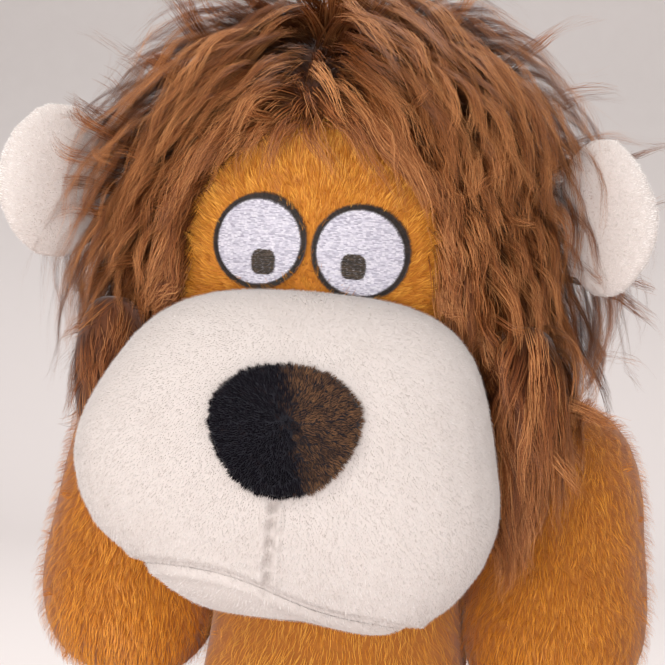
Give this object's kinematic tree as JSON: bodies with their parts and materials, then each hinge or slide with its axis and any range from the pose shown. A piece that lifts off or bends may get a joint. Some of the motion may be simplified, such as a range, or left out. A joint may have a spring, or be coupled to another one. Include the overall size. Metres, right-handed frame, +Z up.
{
  "type": "plush lion",
  "caption": "Seated plush lion with a long-haired mane, an oversized cream muzzle, embroidered eyes, and stuffed limbs, ears and head that bend at their seams.",
  "frame": {"origin": "middle of the flat seat panel, on the surface that the lion sits on", "axes": "+Z up, the lion faces -Y, its left side is +X"},
  "size_m": [0.3076, 0.4152, 0.418],
  "materials": {
    "golden_plush": "matte",
    "orange_plush": "matte",
    "mane_fur": "matte",
    "cream_minky": "matte",
    "nose_plush": "matte",
    "white_thread": "satin",
    "brown_thread": "satin",
    "fibre_fill": "matte",
    "pellet_cloth": "matte"
  },
  "bodies": {
    "torso": {"body_cover": "orange_plush", "seat_panel": "orange_plush", "body_stuffing": "fibre_fill", "pellet_bag": "pellet_cloth"},
    "neck": {"neck_cover": "orange_plush", "neck_stuffing": "fibre_fill"},
    "head": {"head_cover": "golden_plush", "head_stuffing": "fibre_fill", "muzzle_panel": "cream_minky", "jaw_panel": "cream_minky", "muzzle_stuffing": "fibre_fill", "nose_panel": "nose_plush", "eye_white_left": "white_thread", "eye_rim_left": "brown_thread", "pupil_left": "brown_thread", "eye_white_right": "white_thread", "eye_rim_right": "brown_thread", "pupil_right": "brown_thread", "mane_crown": "mane_fur", "mane_nape": "mane_fur", "mane_lock_left": "mane_fur", "mane_lock_right": "mane_fur"},
    "tail": {"tail_cover": "orange_plush", "tail_stuffing": "fibre_fill", "tail_tuft": "mane_fur"},
    "ear_left": {"ear_front_left": "cream_minky", "ear_back_left": "cream_minky", "ear_wadding_left": "fibre_fill"},
    "arm_left": {"arm_cover_left": "orange_plush", "arm_stuffing_left": "fibre_fill"},
    "leg_left": {"leg_cover_left": "orange_plush", "leg_stuffing_left": "fibre_fill", "sole_left": "cream_minky"},
    "ear_right": {"ear_front_right": "cream_minky", "ear_back_right": "cream_minky", "ear_wadding_right": "fibre_fill"},
    "arm_right": {"arm_cover_right": "orange_plush", "arm_stuffing_right": "fibre_fill"},
    "leg_right": {"leg_cover_right": "orange_plush", "leg_stuffing_right": "fibre_fill", "sole_right": "cream_minky"}
  },
  "joints": [
    {"name": "head_turn", "type": "hinge", "parent": "torso", "child": "neck", "pos_m": [0, -0.014, 0.226], "axis": [0, 0, 1], "range_deg": [-10, 10], "stiffness_Nm_per_rad": 3},
    {"name": "head_nod", "type": "hinge", "parent": "neck", "child": "head", "pos_m": [0, -0.014, 0.226], "axis": [-1, 0, 0], "range_deg": [-8, 8], "stiffness_Nm_per_rad": 6},
    {"name": "ear_fold_left", "type": "hinge", "parent": "head", "child": "ear_left", "pos_m": [0.09362, -0.06167, 0.323], "axis": [0, 0, 1], "range_deg": [-25, 25], "stiffness_Nm_per_rad": 0.02},
    {"name": "arm_swing_left", "type": "hinge", "parent": "torso", "child": "arm_left", "pos_m": [0.052, 0, 0.2], "axis": [-0.9986, 0, -0.0523], "range_deg": [-30, 35], "stiffness_Nm_per_rad": 0.5},
    {"name": "leg_swing_left", "type": "hinge", "parent": "torso", "child": "leg_left", "pos_m": [0.072, 0.02, 0.038], "axis": [1, 0, 0], "range_deg": [-15, 20], "stiffness_Nm_per_rad": 0.8},
    {"name": "ear_fold_right", "type": "hinge", "parent": "head", "child": "ear_right", "pos_m": [-0.11362, -0.06167, 0.323], "axis": [0, 0, -1], "range_deg": [-25, 25], "stiffness_Nm_per_rad": 0.02},
    {"name": "arm_swing_right", "type": "hinge", "parent": "torso", "child": "arm_right", "pos_m": [-0.052, 0, 0.2], "axis": [-0.9986, 0, 0.0523], "range_deg": [-30, 35], "stiffness_Nm_per_rad": 0.5},
    {"name": "leg_swing_right", "type": "hinge", "parent": "torso", "child": "leg_right", "pos_m": [-0.072, 0.02, 0.038], "axis": [1, 0, 0], "range_deg": [-15, 20], "stiffness_Nm_per_rad": 0.8},
    {"name": "tail_wag", "type": "hinge", "parent": "torso", "child": "tail", "pos_m": [0, 0.06781, 0.014], "axis": [0, 0, 1], "range_deg": [-30, 30], "stiffness_Nm_per_rad": 0.05}
  ]
}
